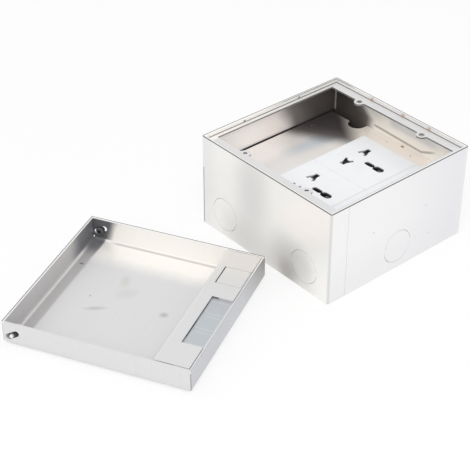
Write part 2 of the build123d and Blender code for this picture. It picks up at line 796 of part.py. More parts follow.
def cable_flap():
    """The flap that closes the cable slot from below and swings down."""
    low_y = slot_front - flap_lap
    high_y = slot_back + flap_lap
    plate = block((flap_axis_x, low_y, flap_top - flap_sheet),
                  (lid_inner_x - flap_end_gap, high_y, flap_top))
    middle_low = knuckle_spans()[0][1]
    middle_high = knuckle_spans()[1][0]
    plate -= block((flap_axis_x - 1, middle_low, flap_top - 2 * flap_sheet),
                   (flap_axis_x + flap_knuckle_radius + flap_bracket_gap, middle_high, flap_top + 1))
    bore = rod(flap_pin_diameter / 2 + running_clearance,
               (flap_axis_x, low_y - 1, flap_axis_z), (flap_axis_x, high_y + 1, flap_axis_z), "Y")
    for low, high in knuckle_spans():
        plate += rod(flap_knuckle_radius, (flap_axis_x, low, flap_axis_z), (flap_axis_x, high, flap_axis_z), "Y")
    return plate - bore


def bracket_spans():
    """The stretches of the flap's pin that its two brackets take, beside the knuckles."""
    first, last = knuckle_spans()
    low = first[1] + flap_bracket_gap
    high = last[0] - flap_bracket_gap
    return [(low, low + flap_bracket_sheet), (high - flap_bracket_sheet, high)]


def flap_brackets():
    """Two ears with round ends under the cable deck, which hold the flap's pin."""
    solids = []
    for low, high in bracket_spans():
        ear = block((flap_axis_x - flap_knuckle_radius, low, flap_axis_z),
                    (flap_axis_x + flap_knuckle_radius, high, cable_deck_bottom))
        ear += rod(flap_knuckle_radius, (flap_axis_x, low, flap_axis_z), (flap_axis_x, high, flap_axis_z), "Y")
        hole = rod(flap_pin_diameter / 2 + thread_clearance,
                   (flap_axis_x, low - 1, flap_axis_z), (flap_axis_x, high + 1, flap_axis_z), "Y")
        solids.append(ear - hole)
    return group(solids)


def flap_pin():
    """The pin of the cable flap."""
    low = slot_front - flap_lap
    high = slot_back + flap_lap
    return rod(flap_pin_diameter / 2, (flap_axis_x, low, flap_axis_z), (flap_axis_x, high, flap_axis_z), "Y")


def flap_spring():
    """The torsion spring on the middle of the flap's pin, between the brackets."""
    low = bracket_spans()[0][1]
    length = (bracket_spans()[1][0] - low) / 2
    spring = wound_spring(flap_spring_diameter, flap_spring_wire, length, flap_spring_turns)
    return Pos(flap_axis_x, low, flap_axis_z) * Rot(-90, 0, 0) * spring


def hinge_pin(side):
    """One hinge pin: a ring head inside the tray and a free end outside the wall."""
    head_face = lid_inner_y - slider_clearance - slider_flange_thickness - slider_clearance
    free_end = lid_half_y + hinge_pin_free_length
    centre = (hinge_pin_x, hinge_pin_height)
    pin = rod(hinge_pin_diameter / 2, (centre[0], head_face, centre[1]), (centre[0], free_end, centre[1]), "Y")
    pin = chamfer(pin.edges().sort_by(Axis.Y)[-1], hinge_pin_diameter / 8)
    head_low = head_face - hinge_head_thickness
    head = rod(hinge_head_diameter / 2, (centre[0], head_low, centre[1]), (centre[0], head_face, centre[1]), "Y")
    head = fillet(head.edges().sort_by(Axis.Y)[0], hinge_head_thickness / 2)
    hole = rod(hinge_head_hole / 2, (centre[0], head_low - 1, centre[1]), (centre[0], head_face, centre[1]), "Y")
    solid = pin + head - hole
    return solid if side > 0 else mirror(solid, Plane.XZ)


def hinge_slider(side):
    """One slider block, which fills part of the slanted slot and turns on the pin."""
    width = hinge_slot_width - 2 * slider_clearance
    web = across_lid(hinge_slot_outline(slider_length, width), lid_inner_y - slider_clearance, lid_half_y)
    grow = 2 * slider_flange_margin
    flange_low = lid_inner_y - slider_clearance - slider_flange_thickness
    flange = across_lid(hinge_slot_outline(slider_length + grow, width + grow),
                        flange_low, lid_inner_y - slider_clearance)
    bore = rod(hinge_pin_diameter / 2 + running_clearance,
               (hinge_pin_x, 0, hinge_pin_height), (hinge_pin_x, lid_width, hinge_pin_height), "Y")
    solid = web + flange - bore
    return solid if side > 0 else mirror(solid, Plane.XZ)


def box_nodes():
    """The pieces of the box and of its socket unit."""
    nodes = {
        "wall_band": wall_band(),
        "base_plate": base_plate(),
        "ledge_frame": ledge_frame(),
        "deck_plate": deck_plate(),
        "deck_brackets": deck_brackets(),
        "deck_screws": deck_screws(),
        "deck_nuts": deck_nuts(),
        "earth_stud": earth_stud(),
        "earth_washer": earth_washer(),
        "earth_nut": earth_nut(),
        "socket_frame": socket_frame(),
        "frame_screws": frame_screws(),
        "frame_nuts": frame_nuts(),
    }
    for name in module_places:
        nodes[f"socket_face_{name}"] = socket_face(name)
        nodes[f"socket_housing_{name}"] = socket_housing(name)
        nodes[f"shutter_{name}"] = shutter(name)
        nodes[f"shutter_spring_{name}"] = shutter_spring(name)
        nodes[f"terminal_screws_{name}"] = terminal_screws(name)
        for pole, (x, y) in contact_places(name).items():
            nodes[f"{pole}_contact_{name}"] = contact(x, y)
    return nodes


def lid_nodes():
    """The pieces of the lid, in the lid's own frame."""
    return {
        "lid_tray": lid_tray(),
        "cable_deck": cable_deck(),
        "lift_tab": lift_tab(),
        "tab_pin": tab_pin(),
        "tab_brackets": tab_brackets(),
        "cable_flap": cable_flap(),
        "flap_brackets": flap_brackets(),
        "flap_pin": flap_pin(),
        "flap_spring": flap_spring(),
        "hinge_pins": group((hinge_pin(1), hinge_pin(-1))),
        "hinge_sliders": group((hinge_slider(1), hinge_slider(-1))),
    }


os.makedirs("parts", exist_ok=True)
for node, shape in box_nodes().items():
    export_step(shape, f"parts/{node}.step")
for node, shape in lid_nodes().items():
    export_step(lid_place * shape, f"parts/{node}.step")
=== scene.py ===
"""Looks of a floor socket box: folded steel, two socket outlets on a deck, and the tray lid beside it."""
import math

import bpy
from mathutils import Matrix, Vector


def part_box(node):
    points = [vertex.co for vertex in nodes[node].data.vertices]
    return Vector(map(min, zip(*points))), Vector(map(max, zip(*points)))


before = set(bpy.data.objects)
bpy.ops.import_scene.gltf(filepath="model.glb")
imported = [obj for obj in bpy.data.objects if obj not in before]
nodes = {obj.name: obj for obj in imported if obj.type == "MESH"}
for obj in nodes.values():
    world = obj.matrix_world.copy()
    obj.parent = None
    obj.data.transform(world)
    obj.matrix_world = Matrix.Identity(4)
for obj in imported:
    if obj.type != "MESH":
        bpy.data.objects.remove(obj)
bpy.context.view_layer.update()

# The wall strip: bright brushed steel sheet, folded round four corners and open at a seam on the +X side.
# Its knockout discs are sheared in place, and three spots near the rim show the heat of the ledge's welds.
# The two inner faces at the back corner mirror each other's dark side, and the fold between catches light.


def paint(red, green, blue):
    """A colour given as it should render, from 0 to 255 for each part."""
    parts = []
    for value in (red, green, blue):
        share = value / 255
        parts.append(share / 12.92 if share <= 0.04045 else ((share + 0.055) / 1.055) ** 2.4)
    return (*parts, 1.0)


class Signal:
    """A number that varies over a surface, worked with the usual signs."""

    def __init__(self, tree, socket):
        self.tree = tree
        self.socket = socket

    def math(self, operation, *others):
        inputs = {0: self}
        for place, other in enumerate(others, 1):
            inputs[place] = other
        return self.tree.node("ShaderNodeMath", {"operation": operation}, inputs)

    def __add__(self, other):
        return self.math("ADD", other)

    def __radd__(self, other):
        return self.math("ADD", other)

    def __sub__(self, other):
        return self.math("SUBTRACT", other)

    def __rsub__(self, other):
        return (self * -1).math("ADD", other)

    def __mul__(self, other):
        return self.math("MULTIPLY", other)

    def __rmul__(self, other):
        return self.math("MULTIPLY", other)

    def __truediv__(self, other):
        return self.math("DIVIDE", other)

    def __abs__(self):
        return self.math("ABSOLUTE")

    def at_least(self, other):
        return self.math("MAXIMUM", other)

    def near(self, place, reach):
        """1 where the signal is within a reach of a place, and 0 elsewhere."""
        return self.math("COMPARE", place, reach)

    def rise(self, low, high):
        """A smooth step from 0 at low to 1 at high, and the other way round where low is the greater."""
        return self.tree.node("ShaderNodeMapRange", {"interpolation_type": "SMOOTHSTEP"},
                              {"Value": self, "From Min": low, "From Max": high})


class Tree:
    """An empty tree of shader nodes, and the one method that fills it."""

    def __init__(self, owner):
        owner.use_nodes = True
        self.nodes = owner.node_tree.nodes
        self.links = owner.node_tree.links
        self.nodes.clear()

    def node(self, kind, settings, inputs, output=0):
        """A node of one kind, with its settings and the values or links of its sockets."""
        made = self.nodes.new(kind)
        for name, value in settings.items():
            setattr(made, name, value)
        for name, value in inputs.items():
            if isinstance(value, Signal):
                self.links.new(value.socket, made.inputs[name])
            else:
                made.inputs[name].default_value = value
        return Signal(self, made.outputs[output] if made.outputs else None)


class Finish(Tree):
    """A material under the brush. Its x, y and z are millimetres in the frame of the piece that it covers."""

    def __init__(self, name, colour, metallic, roughness, origin=(0, 0, 0), yaw=0.0, coat=0.0):
        self.material = bpy.data.materials.new(name)
        super().__init__(self.material)
        surface = self.node("ShaderNodeBsdfPrincipled", {},
                            {"Base Color": colour, "Metallic": metallic, "Roughness": roughness,
                             "Coat Weight": coat})
        self.node("ShaderNodeOutputMaterial", {}, {"Surface": surface})
        self.shader = surface.socket.node
        self.colour = colour
        self.roughness = roughness
        place = self.node("ShaderNodeTexCoord", {}, {}, "Object")
        self.point = self.node("ShaderNodeMapping", {"vector_type": "TEXTURE"},
                               {"Vector": place, "Location": origin, "Rotation": (0, 0, yaw),
                                "Scale": (0.001, 0.001, 0.001)})
        self.x = self.node("ShaderNodeSeparateXYZ", {}, {"Vector": self.point}, "X")
        self.y = self.node("ShaderNodeSeparateXYZ", {}, {"Vector": self.point}, "Y")
        self.z = self.node("ShaderNodeSeparateXYZ", {}, {"Vector": self.point}, "Z")

    def feed(self, name, value):
        """Links a signal to one of the shader's own sockets."""
        self.links.new(value.socket, self.shader.inputs[name])

    def tint(self, mask, colour):
        """Lays a colour over what is there, as far as the mask says."""
        self.colour = self.node("ShaderNodeMix", {"data_type": "RGBA"},
                                {0: mask, 6: self.colour, 7: colour}, 2)

    def noise(self, stretch, detail=2.0):
        """Cloudy noise around 0.5, whose lumps measure the stretch in millimetres along X, Y and Z."""
        point = self.node("ShaderNodeMapping", {"vector_type": "TEXTURE"},
                          {"Vector": self.point, "Scale": stretch})
        return self.node("ShaderNodeTexNoise", {}, {"Vector": point, "Scale": 1.0, "Detail": detail}, "Fac")

    def spot(self, centre, radii, soft, turn=(0, 0, 0)):
        """A soft ellipsoid mark, 1 at its centre and 0 from its radii outwards, all in millimetres."""
        point = self.node("ShaderNodeMapping", {"vector_type": "TEXTURE"},
                          {"Vector": self.point, "Location": centre, "Scale": radii,
                           "Rotation": [math.radians(angle) for angle in turn]})
        reach = self.node("ShaderNodeVectorMath", {"operation": "LENGTH"}, {0: point}, "Value")
        return reach.rise(1.0, 1.0 - soft)

    def vary_gloss(self, noise, spread):
        """Roughness that wanders with a noise round the finish's own roughness."""
        self.feed("Roughness", (noise - 0.5) * spread + self.roughness)

    def relief(self, height, depth):
        """A fine bump, whose depth is in metres."""
        bump = self.node("ShaderNodeBump", {}, {"Strength": 1.0, "Distance": depth, "Height": height})
        self.feed("Normal", bump)

    def brush(self, stretch, spread):
        """Fine brushing: a relief and a change of gloss along streaks of a given stretch."""
        streak = self.noise(stretch, detail=3.0)
        self.vary_gloss(streak, spread)
        self.relief(streak, brushing_depth)
        return streak

    def cover(self, *names):
        """Puts the finished material on CAD nodes."""
        if isinstance(self.colour, Signal):
            self.feed("Base Color", self.colour)
        for name in names:
            nodes[name].data.materials.clear()
            nodes[name].data.materials.append(self.material)


steel_metallic = 0.2
steel_roughness = 0.38
brushing_depth = 0.00002
# in millimetres: how near a face a point is to count as on it, and how deep a mark on a face reaches
on_face = 0.3
mark_depth = 6
wall_sheet = 1.5
strip_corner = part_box("wall_band")[1] * 1000
outer_half = strip_corner[0]
inner_half = outer_half - wall_sheet
rim_height = strip_corner[2]
deck_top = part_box("deck_plate")[1][2] * 1000

strip = Finish("brushed_wall_strip", paint(248, 247, 244), steel_metallic, steel_roughness)
x, y, z = strip.x, strip.y, strip.z
wander = strip.noise((16, 16, 16)) - 0.5

# the outer face towards -Y, with soft reflections of a bright room: X and Z of each, radii, colour, strength
front = y.near(-outer_half, on_face)
front_reflections = (((-14, 58), (30, 64), (228, 227, 225), 1.0),
                     ((-24, 8), (40, 36), (219, 217, 214), 0.8),
                     ((30, 12), (38, 40), (196, 193, 190), 0.8),
                     ((28.7, 6), (15, 17), (172, 168, 165), 0.8),
                     ((47, 20.5), (15, 15), (216, 214, 211), 0.5))
for (mark_x, mark_z), (radius_x, radius_z), colour, strength in front_reflections:
    mark = strip.spot((mark_x, -outer_half, mark_z), (radius_x, mark_depth, radius_z), soft=0.9)
    strip.tint(front * mark * strength, paint(*colour))
glare = strip.spot((50, -outer_half, 64), (44, mark_depth, 26), soft=0.8, turn=(0, -24, 0))
strip.tint(front * glare, paint(255, 249, 244))
left_end = x.rise(-50, -74)
strip.tint(front * left_end, paint(237, 237, 236))

# the outer face towards +X, cooler towards the back, with three small marks of painted shade where it is
# lightly dented: Y and Z of each
side = x.near(outer_half, on_face)
strip.tint(side, paint(243, 243, 243))
towards_back = y.rise(-20, outer_half)
strip.tint(side * towards_back, paint(234, 234, 237))
low_down = z.rise(50, 5)
strip.tint(side * low_down * 0.5, paint(231, 231, 233))
for mark_y, mark_z in ((-28.5, 46.4), (30, 46.4), (37, 17)):
    mark = strip.spot((outer_half, mark_y, mark_z), (3, 2.4, 1.1), soft=0.9, turn=(-25, 0, 0))
    strip.tint(side * mark * 0.6, paint(205, 206, 208))

# the inner face on the -X side: painted light with a warm painted reflection near the front, and painted
# shade past a leaning edge towards the back corner
inner_left = x.near(-inner_half, on_face)
strip.tint(inner_left, paint(255, 252, 249))
warm_reflection = y.rise(-35, 5)
strip.tint(inner_left * warm_reflection, paint(252, 244, 239))
shade_edge = 19 - (z - 60) * 0.6 + wander * 6
shade_width = 8 + (z - 60) * 0.25
half_shade = ((y - shade_edge) / shade_width).rise(-1, 1)
strip.tint(inner_left * half_shade, paint(140, 134, 131))
deep_shade = ((y - shade_edge - 18) / 16).rise(-1, 1)
strip.tint(inner_left * deep_shade, paint(96, 90, 88))

# the inner face on the +Y side, painted bright: a cool painted reflection, the mirrored edge of the deck, and
# painted shade in the dark back corner
inner_back = y.near(inner_half, on_face)
strip.tint(inner_back, paint(255, 252, 246))
cool_reflection = inner_back * x.rise(-12, -4) * x.rise(52, 36) * z.rise(62.5, 67)
strip.tint(cool_reflection * 0.8, paint(226, 226, 228))
mirrored_height = 58 - (x + 26) * 0.0335 + (x - 28).at_least(0) * 0.42
mirrored_edge = inner_back * abs(z - mirrored_height).rise(1.9, 0.1) * x.rise(-28, -24) * x.rise(46, 36)
strip.tint(mirrored_edge * 0.8, paint(158, 148, 142))
shade_edge = -30 - (z - 62).at_least(0) * 1.2 + wander * 3
half_shade = ((x - shade_edge) / 4.5).rise(1.4, -1.4)
strip.tint(inner_back * half_shade, paint(128, 122, 118))
deep_shade = ((x - shade_edge + 10) / 7).rise(1, -1)
strip.tint(inner_back * deep_shade, paint(98, 92, 89))
corner_shade = x.rise(-48, -64)
strip.tint(inner_back * corner_shade, paint(82, 78, 76))

# the gap beside the deck looks into shade
gap_shade = inner_left * z.rise(deck_top + 1.0, deck_top + 0.2)
strip.tint(gap_shade, paint(62, 58, 56))

# the fold at the back corner catches light above the deck and below the ledge
fold_place = inner_half - 0.3
back_fold = abs(x + fold_place).rise(0.9, 0.3) * abs(y - fold_place).rise(0.9, 0.3)
strip.tint(back_fold * z.rise(52, 55) * z.rise(76, 72) * 0.8, paint(196, 190, 187))

# the heat marks of the spot welds, through to both faces
weld_places = (-29.5, 6.0, 35.0)
weld_height = 81.4
for weld_x in weld_places:
    heat = strip.spot((weld_x, inner_half + 0.5, weld_height), (4.2, 4, 2.0), soft=0.8)
    strip.tint(heat * 0.75, paint(176, 146, 118))

# the outer folds stand a little darker, and the rim carries a painted highlight between two thin dark lines
fold_start = outer_half - 1.7
fold_full = outer_half - 1.0
outer_fold = abs(x).rise(fold_start, fold_full) * abs(y).rise(fold_start, fold_full)
strip.tint(outer_fold * 0.5, paint(186, 185, 183))
rim = z.rise(rim_height - 0.04, rim_height - 0.01)
outward = abs(x).at_least(abs(y))
strip.tint(rim, paint(250, 249, 247))
rim_line = rim * outward.rise(outer_half - 0.8, outer_half - 0.6)
strip.tint(rim_line, paint(84, 81, 79))
under_rim = z.rise(rim_height - 0.6, rim_height - 0.4) * (1 - rim)
wall_line = under_rim * outward.rise(outer_half - 0.5, outer_half - 0.2)
strip.tint(wall_line, paint(112, 109, 107))
streak = strip.brush((38, 38, 0.7), spread=0.10)
strip.tint((streak - 0.5) * 0.13, paint(130, 128, 126))
strip.cover("wall_band")

# The base sheet: the same steel, welded inside the foot of the wall strip, with holes for floor anchors.
# It is brushed along X, and scuffed in patches.
base = Finish("brushed_base_sheet", paint(222, 220, 217), steel_metallic, steel_roughness)
scuff = base.noise((24, 24, 24)).rise(0.45, 0.75)
base.tint(scuff * 0.5, paint(196, 193, 189))
base.brush((40, 0.7, 40), spread=0.12)
base.cover("base_plate")

# The ledge frame: a pressed ring of the same sheet, spot welded by its upturned lip just below the rim.
# Four ears have threaded holes for the lid's screws, and its inner edge is painted as a dark line of shade.
ledge_top = 80.1
lip_top = 82.5
lip_inner = 72.5
ledge = Finish("brushed_ledge_frame", paint(223, 222, 222), steel_metallic, steel_roughness)
x, y, z = ledge.x, ledge.y, ledge.z
# painted light and shade on the top: bright on the near part of the -X arm, darker on its far part, and a
# cooler grey on the +X arm
left_arm = x.rise(-66, -69)
near_part = y.rise(30, -40)
ledge.tint(left_arm * near_part, paint(251, 248, 244))
far_part = y.rise(10, 60)
ledge.tint(left_arm * far_part, paint(220, 218, 217))
right_arm = x.rise(60, 72)
ledge.tint(right_arm, paint(226, 227, 230))

# the upturned lip is painted bright above a thin line of painted shade in the crease at its foot, with the
# brown heat marks of the welds
outward = abs(x).at_least(abs(y))
lip = outward.rise(lip_inner - 0.2, lip_inner - 0.05) * z.rise(ledge_top + 0.4, ledge_top + 0.6)
lip_edge = z.rise(lip_top - 0.2, lip_top - 0.05)
ledge.tint(lip * (1 - lip_edge) * 0.8, paint(250, 248, 244))
lip_foot = z.rise(ledge_top - 0.1, ledge_top) * z.rise(ledge_top + 0.65, ledge_top + 0.35)
foot_shade = lip_foot * outward.rise(lip_inner - 0.5, lip_inner - 0.3)
ledge.tint(foot_shade * 0.9, paint(104, 100, 97))
for weld_x in weld_places:
    heat = ledge.spot((weld_x, lip_inner + 0.3, weld_height), (3.4, 2.4, 2.0), soft=0.8)
    ledge.tint(heat * 0.7, paint(186, 152, 120))
# two small dark spots on the lip on the -X side
for lip_spot_y in (28.6, -32.0):
    lip_dark_spot = ledge.spot((-lip_inner, lip_spot_y, weld_height), (0.8, 1.8, 1.0), soft=0.7)
    ledge.tint(lip_dark_spot, paint(96, 90, 88))

# the inner edge, painted dark as shade, and painted shade round the holes of the two ears on the +Y side
inner_edge_shade = z.near(ledge_top - wall_sheet / 2, 0.7)
ledge.tint(inner_edge_shade * 0.8, paint(88, 84, 82))
for ear_x in (-35.5, 35.5):
    ring = ledge.spot((ear_x, 63.4, ledge_top), (3.2, 3.2, mark_depth / 2), soft=0.35)
    ledge.tint(ring * 0.7, paint(120, 118, 117))
blotch = ledge.noise((9, 9, 9)).rise(0.5, 0.8)
ledge.tint(blotch * 0.35, paint(214, 214, 215))
ledge.brush((30, 30, 0.7), spread=0.10)
ledge.cover("ledge_frame")

# The small machine screws, their nuts, and the pins of the lift tab and the cable flap: zinc plated steel.
# The plate is bright where it is new and patchy where it has dulled.
plate = Finish("zinc_plate", paint(206, 206, 204), metallic=0.8, roughness=0.33)
tarnish = plate.noise((1.4, 1.4, 1.4), detail=3.0)
plate.tint(tarnish.rise(0.45, 0.7) * 0.6, paint(160, 160, 160))
# the deck screw in the back corner mirrors the dark walls
back_corner = plate.x.rise(-30, -32) * plate.y.rise(30, 32)
plate.tint(back_corner * 0.8, paint(128, 116, 110))
plate.vary_gloss(tarnish, spread=0.3)
plate.cover("deck_screws", "deck_nuts", "frame_screws", "frame_nuts",
            "tab_pin", "flap_pin", "terminal_screws_far", "terminal_screws_near")

# The deck: a sheet that lies between the walls on four welded brackets, screwed down and notched for cables.
# It mirrors the dark back corner in a soft diagonal, with a cool streak across the middle of its open part.
deck = Finish("brushed_deck", paint(250, 244, 240), steel_metallic, steel_roughness)
x, y = deck.x, deck.y
wander = deck.noise((22, 22, 22)) - 0.5
# painted light and shade over the open part: a little darker over the middle and the far half
middle = x.rise(-54, -40) * x.rise(40, 20)
deck.tint(middle, paint(236, 233, 231))
far_half = y.rise(-20, 12)
deck.tint(far_half, paint(234, 229, 225))
from_streak = abs(x + 44 + wander * 6)
cool_streak = from_streak.rise(11, 1) * y.rise(-20, 10)
deck.tint(cool_streak, paint(212, 216, 221))
streak_end = from_streak.rise(13, 2) * y.rise(14, 32)
deck.tint(streak_end, paint(184, 189, 195))
shade_edge = 22 + (x + 60) * 0.62 + wander * 4
half_shade = (y - shade_edge + 1).rise(-12, 10)
deck.tint(half_shade, paint(96, 90, 88))
deep_shade = (y - shade_edge - 14).rise(-8, 8)
deck.tint(deep_shade, paint(72, 67, 66))
# a warm painted reflection along the +Y wall, and painted light along the +X side
warm_strip = (y + x * 0.667 - 31 + wander * 5).rise(-9, 14) * y.rise(36, 52)
deck.tint(warm_strip, paint(255, 246, 236))
right_strip = x.rise(48, 50)
deck.tint(right_strip, paint(248, 243, 238))

# brown and dull marks by the +Y edge: X and Y of each, its radii, softness, turn, colour and strength
edge_marks = (((9.4, 71.3), (2.6, 1.8), 0.7, 0, (150, 112, 90), 1.0),
              ((-4.4, 67), (2.2, 1.2), 0.8, 0, (205, 190, 176), 0.5),
              ((23.8, 65.6), (1.0, 2.6), 0.8, 30, (200, 188, 176), 0.6))
for (mark_x, mark_y), (radius_x, radius_y), soft, turn, colour, strength in edge_marks:
    radii = (radius_x, radius_y, mark_depth / 2)
    mark = deck.spot((mark_x, mark_y, deck_top), radii, soft=soft, turn=(0, 0, turn))
    deck.tint(mark * strength, paint(*colour))
streak = deck.brush((0.7, 40, 40), spread=0.10)
deck.tint((streak - 0.5) * 0.22, paint(130, 128, 126))
deck.cover("deck_plate")

# The brackets under the deck, the tab and the cable flap: short angles of the same sheet, welded in place.
# They are handled more than the walls, so they are a little duller and patchy.
bracket = Finish("sheet_brackets", paint(206, 204, 201), steel_metallic, steel_roughness + 0.04)
patch = bracket.noise((6, 6, 6)).rise(0.4, 0.7)
bracket.tint(patch * 0.5, paint(178, 175, 171))
bracket.brush((12, 12, 0.6), spread=0.12)
bracket.cover("deck_brackets", "tab_brackets", "flap_brackets")

# The earth stud with its washer and nut, and the contacts in the rear housings: brass, turned and folded.
# The brass is left bare, and has darkened in patches.
brass = Finish("brass", paint(214, 184, 122), metallic=0.9, roughness=0.355)
stain = brass.noise((3, 3, 3), detail=3.0)
brass.tint(stain.rise(0.45, 0.75), paint(176, 140, 86))
brass.vary_gloss(stain, spread=0.35)
brass.cover("earth_stud", "earth_washer", "earth_nut",
            "line_contact_far", "neutral_contact_far", "earth_contact_far",
            "line_contact_near", "neutral_contact_near", "earth_contact_near")

# The socket frame: a white moulding screwed over the deck, with a pocket for two outlet faces side by side.
# The plastic is a slightly blue white, with a satin skin and faint grey clouds.
plastic_roughness = 0.34
plastic_coat = 0.12
skin_lumps = (0.5, 0.5, 0.5)
skin_depth = 0.000006
cloud_lumps = (18, 18, 18)
white = Finish("white_moulding", paint(244, 246, 249), metallic=0.0, roughness=plastic_roughness,
               coat=plastic_coat)
skin = white.noise(skin_lumps)
cloud = white.noise(cloud_lumps)
white.tint(cloud.rise(0.4, 0.8) * 0.4, paint(238, 241, 246))
white.relief(skin, skin_depth)
white.vary_gloss(cloud, spread=0.1)
white.cover("socket_frame")

# The outlet faces: two single mouldings of the same white plastic, held side by side in the frame's pocket.
# The walls of their apertures lie in shade from just below the face, apart from one side that catches light.
face_top = 58.5
# Y of each line and neutral aperture, and the place and radii of the light on its side
aperture_rows = (37.17, 12.57, -20.98, -45.58)
lit_x = -1.2
lit_offset = 2.4
lit_radii = (3.0, 3.4, 6)
face = Finish("white_outlet_face", paint(246, 247, 249), metallic=0.0, roughness=plastic_roughness,
              coat=plastic_coat)
z = face.z
cloud = face.noise(cloud_lumps)
face.tint(cloud.rise(0.4, 0.8) * 0.4, paint(239, 241, 245))
half_shade = z.rise(face_top - 0.3, face_top - 1.1)
face.tint(half_shade, paint(96, 98, 101))
deep_shade = z.rise(face_top - 1.1, face_top - 2.3)
face.tint(deep_shade, paint(44, 45, 48))
for row in aperture_rows:
    lit_side = face.spot((lit_x, row - lit_offset, face_top - 1.5), lit_radii, soft=0.8)
    face.tint(z.rise(face_top + 0.1, face_top - 0.3) * lit_side, paint(206, 208, 211))
face.relief(face.noise(skin_lumps), skin_depth)
face.vary_gloss(cloud, spread=0.1)
face.cover("socket_face_far", "socket_face_near")

# The rear housings: boxes of grey glass-filled plastic with a fine matt texture, one below each outlet.
# They hold the contacts and the terminal screws, and the wires come in through ports in their floors.
texture_depth = 0.00002
grey = Finish("grey_moulding", paint(120, 122, 126), metallic=0.0, roughness=0.55)
fleck = grey.noise((0.8, 0.8, 0.8), detail=3.0)
grey.tint(fleck.rise(0.5, 0.7) * 0.5, paint(104, 106, 110))
grey.relief(fleck, texture_depth)
grey.cover("socket_housing_far", "socket_housing_near")

# The safety shutters: sliders under the line and neutral apertures, of the same filled plastic, painted dark
# grey as the shade deep in the apertures.
# A plug's earth pin moves them against a small spring. Their front part catches light from the apertures.
shutter = Finish("shutter_moulding", paint(70, 72, 76), metallic=0.0, roughness=0.5)
fleck = shutter.noise((0.8, 0.8, 0.8), detail=3.0)
shutter.tint(fleck.rise(0.5, 0.7) * 0.4, paint(60, 62, 66))
for row in aperture_rows:
    lit_part = shutter.spot((lit_x, row - lit_offset, face_top - 2.5), lit_radii, soft=0.8)
    shutter.tint(lit_part, paint(214, 216, 219))
shutter.cover("shutter_far", "shutter_near")

# The springs of the shutters and of the cable flap: drawn spring steel wire, darker than the sheet.
# They are wound cold and left bare, with faint drawing marks along the wire.
wire = Finish("spring_wire", paint(150, 150, 152), metallic=0.9, roughness=0.3)
drawn = wire.noise((0.6, 0.6, 0.6), detail=3.0)
wire.tint(drawn.rise(0.4, 0.7) * 0.5, paint(116, 116, 118))
wire.cover("shutter_spring_far", "shutter_spring_near", "flap_spring")

# The lid's tray: brushed steel sheet folded up on four sides, with open corners and slanted hinge slots.
# Its hinge end mirrors the dark wall in a grey band, and the floor has a few dull smudges.
lid_origin = (-0.0141, -0.1892, 0)
lid_yaw = math.radians(27.7)
lid_half_x = 75.4
lid_half_y = 73.3
lid_height = 21.4
lid_sheet = 1.5
lid_inner_x = lid_half_x - lid_sheet
lid_inner_y = lid_half_y - lid_sheet
tray = Finish("brushed_lid_tray", paint(221, 221, 222), steel_metallic, steel_roughness, lid_origin, lid_yaw)
x, y, z = tray.x, tray.y, tray.z
wander = tray.noise((14, 14, 14)) - 0.5

# inside: all that lies within the middle of the walls' sheet and above the underside
middle_x = lid_half_x - 0.7
middle_y = lid_half_y - 0.7
inside_x = x.rise(-middle_x, 0.1 - middle_x) * x.rise(middle_x, middle_x - 0.1)
inside_y = y.rise(-middle_y, 0.1 - middle_y) * y.rise(middle_y, middle_y - 0.1)
inside = inside_x * inside_y * z.rise(1.0, 1.2)

# the floor, with a warm painted reflection by the far wall, the grey band along its hinge end, a painted
# highlight where the sheet bends up at the hinge end, and painted shade in the crease at the far wall
warm_side = inside * (y + wander * 5).rise(36, 58)
tray.tint(warm_side, paint(254, 251, 246))
band = inside * (x + wander * 1.2).rise(-61.8, -64.6)
tray.tint(band, paint(188, 186, 186))
foot = z.rise(6, 4.5)
hinge_bend_highlight = inside * abs(x + (lid_inner_x - 1.3)).rise(1.0, 0.2) * foot
tray.tint(hinge_bend_highlight, paint(218, 216, 215))
far_crease_shade = inside * abs(y - (lid_inner_y - 1.9)).rise(1.5, 0.3) * foot * x.rise(-60, -50)
tray.tint(far_crease_shade, paint(208, 203, 199))
band_end = band * (y + wander * 6).rise(46, 62)
tray.tint(band_end, paint(126, 126, 130))

# the inner face of the hinge end's wall, with a painted dark reflection towards its far end, and a painted
# dark reflection at the end of the far wall beside it
hinge_wall = inside * x.rise(0.5 - lid_inner_x, 0.2 - lid_inner_x)
tray.tint(hinge_wall, paint(203, 201, 201))
hinge_wall_dark_reflection = hinge_wall * (y + wander * 6).rise(26, 52)
tray.tint(hinge_wall_dark_reflection, paint(124, 124, 129))
far_wall = inside * y.rise(lid_inner_y - 0.6, lid_inner_y - 0.3)
far_wall_dark_reflection = far_wall * (x + wander * 5 - (z - 10) * 0.3).rise(-53, -62)
tray.tint(far_wall_dark_reflection, paint(106, 106, 110))

# smudges on the floor: X and Y of each, its radii, turn, colour and strength
smudges = (((-31, -12), (13, 3.2), 24, (196, 196, 192), 1.0),
           ((21.3, -0.3), (5.2, 4.6), 0, (186, 187, 186), 1.0),
           ((-41.5, 0.7), (1.0, 1.6), 20, (150, 150, 152), 0.9),
           ((-16, 13.7), (13, 9), 40, (213, 210, 210), 0.8),
           ((-24, 27), (6, 12), 15, (208, 209, 205), 0.8),
           ((-67, 35.7), (3.0, 1.8), 0, (112, 112, 116), 0.9))
for (mark_x, mark_y), (radius_x, radius_y), turn, colour, strength in smudges:
    radii = (radius_x, radius_y, mark_depth / 2)
    mark = tray.spot((mark_x, mark_y, lid_sheet), radii, soft=0.9, turn=(0, 0, turn))
    tray.tint(inside * mark * strength, paint(*colour))

# the outer faces at the free end, in painted shade that deepens towards the far side, and towards -Y, a
# little darker near its foot
free_end = x.near(lid_half_x, on_face)
tray.tint(free_end, paint(201, 202, 206))
free_end_shade = free_end * (y + (z - 12) * 0.9).rise(20, 76)
tray.tint(free_end_shade, paint(166, 165, 164))
outer_front = y.near(-lid_half_y, on_face)
tray.tint(outer_front, paint(221, 220, 220))
front_foot = z.rise(9, 2)
tray.tint(outer_front * front_foot * 0.5, paint(215, 214, 213))
